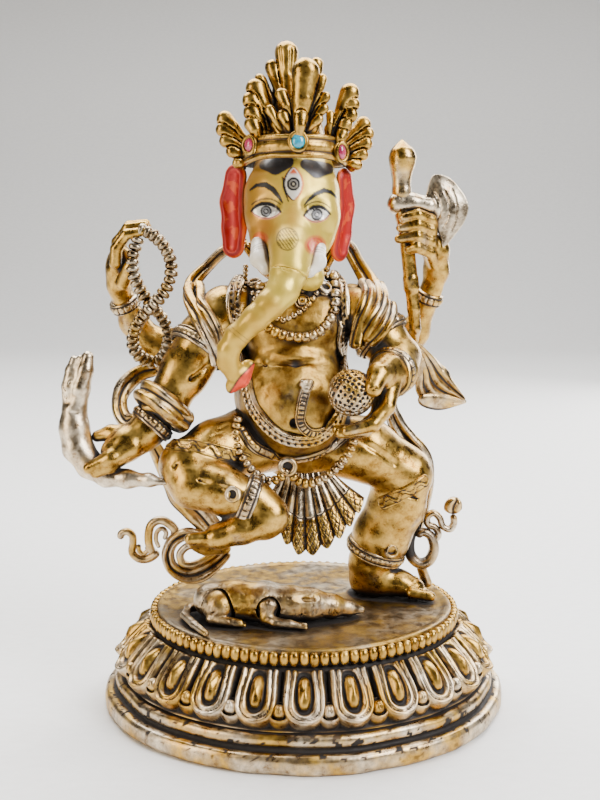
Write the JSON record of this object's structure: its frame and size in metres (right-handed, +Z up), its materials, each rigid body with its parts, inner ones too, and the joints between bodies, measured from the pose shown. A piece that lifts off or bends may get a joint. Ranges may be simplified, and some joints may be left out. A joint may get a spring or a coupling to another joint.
{
  "type": "hindu deity statue",
  "caption": "Cast metal figurine of an elephant-headed dancing deity with a painted face, standing on one leg over a mouse on an oval lotus pedestal.",
  "frame": {"origin": "Middle of the pedestal's flat underside.", "axes": "+Z up, -Y is the front that the deity faces, +X is the deity's left."},
  "size_m": [0.1326, 0.109, 0.1978],
  "materials": {
    "gilt_metal": "worn gilding over a dark antique patina, rubbed bright on the high places",
    "silvered_metal": "rubbed silvering over a dark antique patina, coppery where it has worn through",
    "copper_sheet": "bare hammered copper, dulled with age",
    "painted_face": "matt gold paint with fine painted features",
    "red_paint": "satin red paint with an orange rim",
    "ivory_paint": "satin white paint with fine dark rings",
    "turquoise": "polished cabochon",
    "ruby": "polished cabochon"
  },
  "bodies": {
    "root": {"closing_plate": "copper_sheet", "foot_moulding": "silvered_metal", "lotus_pedestal": "silvered_metal", "platform": "silvered_metal", "bead_rim": "gilt_metal", "foot_tenon": "copper_sheet", "tenon_washer": "copper_sheet", "neck_dowel": "copper_sheet", "right_front_dowel": "copper_sheet", "right_rear_dowel": "copper_sheet", "left_front_dowel": "copper_sheet", "left_rear_dowel": "copper_sheet", "crown_turquoise": "turquoise", "crown_ruby_right": "ruby", "crown_ruby_left": "ruby", "head": "painted_face", "trunk": "painted_face", "right_tusk": "ivory_paint", "left_tusk": "ivory_paint", "right_ear": "red_paint", "left_ear": "red_paint", "torso": "gilt_metal", "raised_leg": "gilt_metal", "standing_leg": "gilt_metal", "right_front_arm": "gilt_metal", "left_front_arm": "gilt_metal", "right_rear_arm": "gilt_metal", "left_rear_arm": "gilt_metal", "crown_leaf_front": "gilt_metal", "crown_leaf_right": "gilt_metal", "crown_leaf_left": "gilt_metal", "crown_leaf_rear_right": "gilt_metal", "crown_leaf_rear_left": "gilt_metal", "crown_band": "gilt_metal", "hair_knot": "gilt_metal", "belt_clasp": "silvered_metal", "pearl_necklace": "silvered_metal", "snake_girdle": "silvered_metal", "waist_belt": "silvered_metal", "bead_festoon": "silvered_metal", "right_armlet": "silvered_metal", "left_armlet": "silvered_metal", "right_wristlet": "silvered_metal", "left_wristlet": "silvered_metal", "raised_anklet": "silvered_metal", "standing_anklet": "silvered_metal", "garland": "silvered_metal", "axe_handle": "silvered_metal", "axe_blade": "silvered_metal", "prayer_beads": "silvered_metal", "radish": "silvered_metal", "sweet_ball": "silvered_metal", "right_shoulder_scarf": "silvered_metal", "left_shoulder_scarf": "silvered_metal", "right_arm_scarf": "silvered_metal", "left_elbow_scarf": "silvered_metal", "right_scarf_tail": "silvered_metal", "left_scarf_tail": "silvered_metal", "pleated_apron": "silvered_metal", "mouse": "silvered_metal"}
  },
  "joints": []
}
